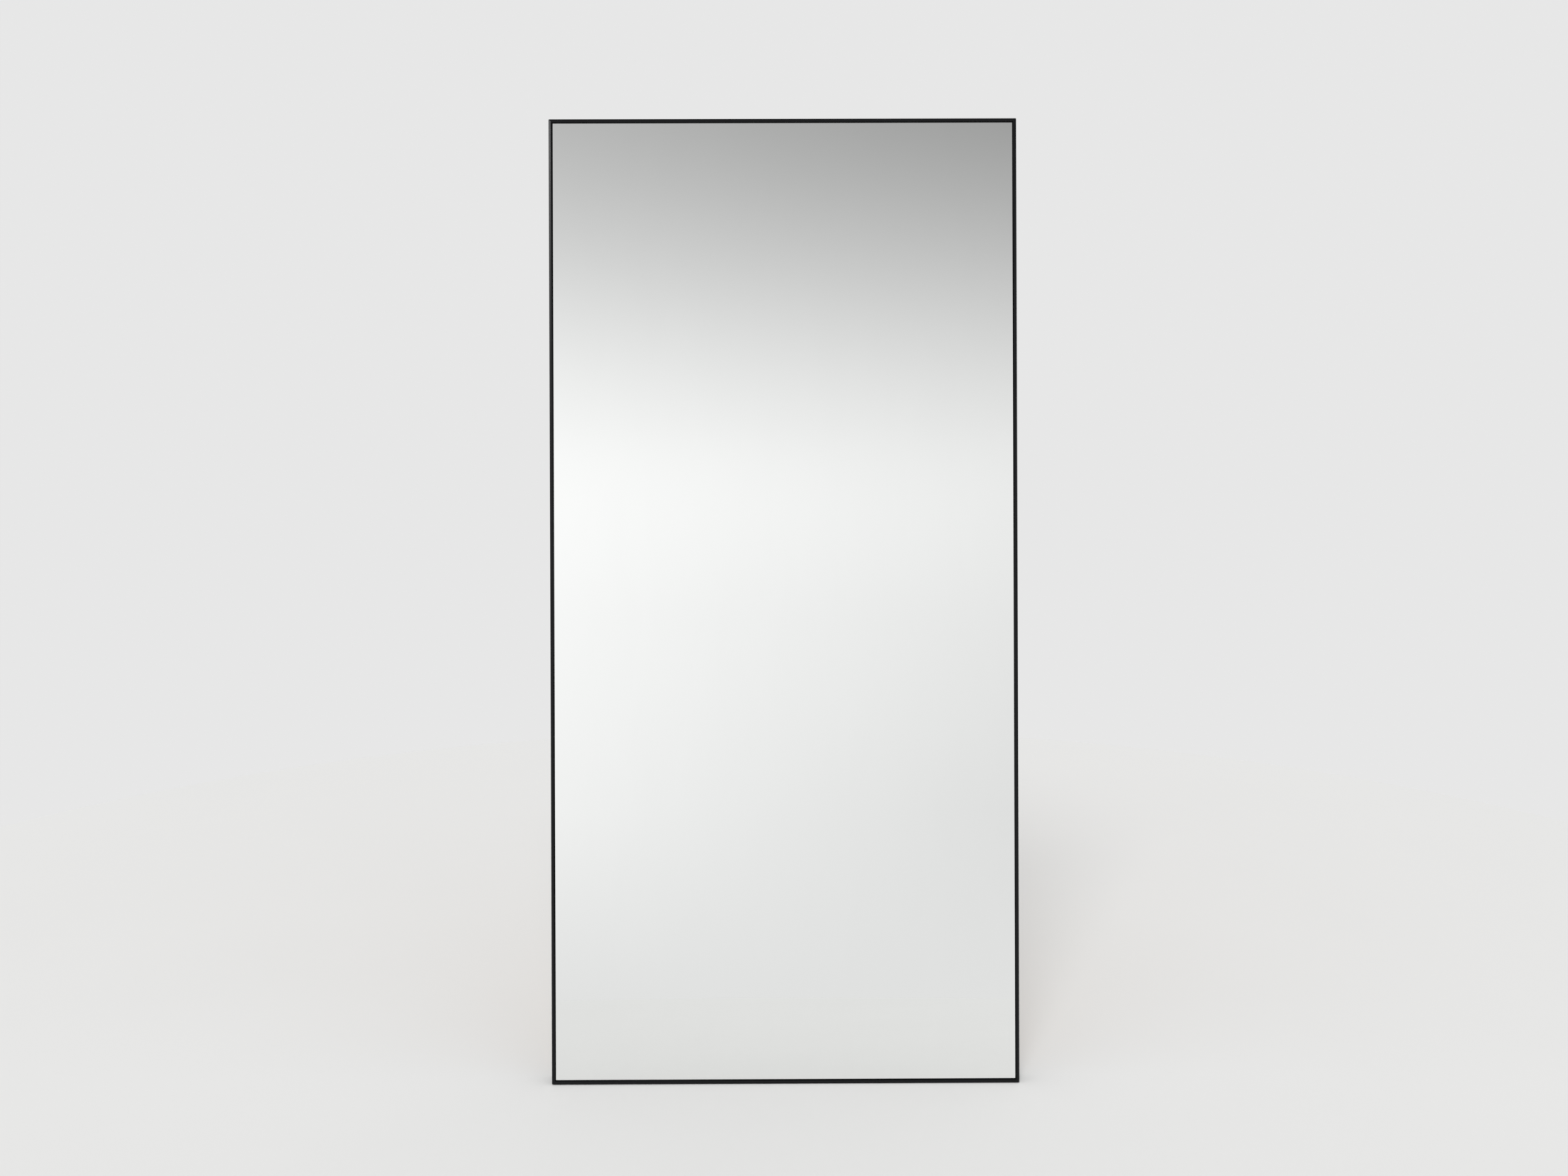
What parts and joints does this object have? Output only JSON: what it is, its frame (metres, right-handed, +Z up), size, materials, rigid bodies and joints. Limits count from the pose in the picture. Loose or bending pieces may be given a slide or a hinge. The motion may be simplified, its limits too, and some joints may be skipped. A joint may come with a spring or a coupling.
{
  "type": "leaning floor mirror",
  "caption": "Tall leaning floor mirror: plain glass in a very slim black mitred metal frame, backed by a board with battens and D-ring hangers.",
  "frame": {"origin": "on the floor, midway between the front of the bottom rail and the wall, on the mirror's centre line", "axes": "+Z up; the glass faces -Y and its top leans back toward +Y; +X is to the right seen from the front"},
  "size_m": [0.914, 0.3382, 1.8641],
  "materials": {
    "powder_coat": "satin black powder coat on aluminium",
    "mirror": "silvered float glass, polished",
    "gasket": "matt black glazing gasket",
    "foam": "white closed-cell foam tape",
    "fibreboard": "raw medium-density fibreboard",
    "pine": "planed pine",
    "zinc_casting": "bright zinc die casting",
    "zinc_plate": "bright zinc-plated steel",
    "rubber": "black rubber"
  },
  "bodies": {
    "root": {"top_rail": "powder_coat", "bottom_rail": "powder_coat", "left_stile": "powder_coat", "right_stile": "powder_coat", "corner_key_top_left": "zinc_casting", "corner_key_top_right": "zinc_casting", "corner_key_bottom_left": "zinc_casting", "corner_key_bottom_right": "zinc_casting", "corner_screws": "zinc_plate", "gasket_top": "gasket", "gasket_bottom": "gasket", "gasket_left": "gasket", "gasket_right": "gasket", "setting_block_left": "rubber", "setting_block_right": "rubber", "mirror_glass": "mirror", "foam_tapes": "foam", "backing_board": "fibreboard", "upper_batten": "pine", "lower_batten": "pine", "batten_screws": "zinc_plate", "bracket_upper_left": "zinc_plate", "bracket_upper_right": "zinc_plate", "bracket_lower_left": "zinc_plate", "bracket_lower_right": "zinc_plate", "bracket_wood_screws": "zinc_plate", "bracket_stile_screws": "zinc_plate", "hanger_strap_left": "zinc_plate", "hanger_strap_right": "zinc_plate", "hanger_screws": "zinc_plate", "tether_insert_left": "zinc_plate", "tether_insert_right": "zinc_plate", "floor_pad_left": "rubber", "floor_pad_right": "rubber", "wall_bumper_left": "rubber", "wall_bumper_right": "rubber"},
    "ring_left": {"d_ring_left": "zinc_plate"},
    "ring_right": {"d_ring_right": "zinc_plate"}
  },
  "joints": [
    {"name": "ring_left_swing", "type": "hinge", "parent": "root", "child": "ring_left", "pos_m": [-0.28, 0.10004, 1.50778], "axis": [1, 0, 0], "range_deg": [-8, 170]},
    {"name": "ring_right_swing", "type": "hinge", "parent": "root", "child": "ring_right", "pos_m": [0.28, 0.10004, 1.50778], "axis": [1, 0, 0], "range_deg": [-8, 170]}
  ]
}
